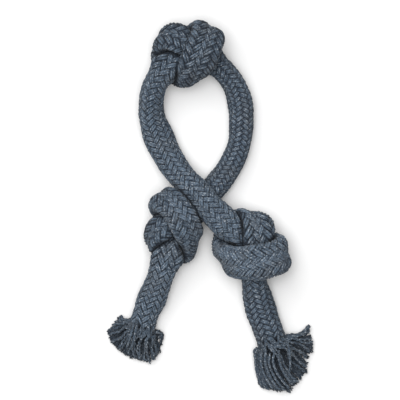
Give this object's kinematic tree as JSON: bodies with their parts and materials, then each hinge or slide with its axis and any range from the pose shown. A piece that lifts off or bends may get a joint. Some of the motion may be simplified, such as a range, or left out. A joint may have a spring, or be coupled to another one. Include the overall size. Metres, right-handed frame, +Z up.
{
  "type": "rope dog toy",
  "caption": "Tug toy of thick braided cotton rope: a loop that crosses itself, overhand knots at its top and near both ends, and frayed tassels.",
  "frame": {"origin": "middle of the toy's outline seen from above, on the floor that it lies on", "axes": "+Z up from the floor, +Y from the frayed ends to the top of the loop, +X to the right seen from above"},
  "size_m": [0.159, 0.285, 0.0465],
  "materials": {
    "braided_cover": "matt braided cotton, dark slate blue marl",
    "core_yarn": "matt straight cotton yarns, dark slate blue"
  },
  "bodies": {
    "root": {"left_tail_cover": "braided_cover", "left_knot_cover": "braided_cover", "loop_right_side_cover": "braided_cover", "top_knot_cover": "braided_cover", "loop_left_side_cover": "braided_cover", "right_knot_cover": "braided_cover", "right_tail_cover": "braided_cover", "left_frayed_cover_yarns": "braided_cover", "right_frayed_cover_yarns": "braided_cover", "left_tail_core": "core_yarn", "left_knot_core": "core_yarn", "loop_right_side_core": "core_yarn", "top_knot_core": "core_yarn", "loop_left_side_core": "core_yarn", "right_knot_core": "core_yarn", "right_tail_core": "core_yarn", "left_frayed_core_yarns": "core_yarn", "right_frayed_core_yarns": "core_yarn"}
  },
  "joints": []
}
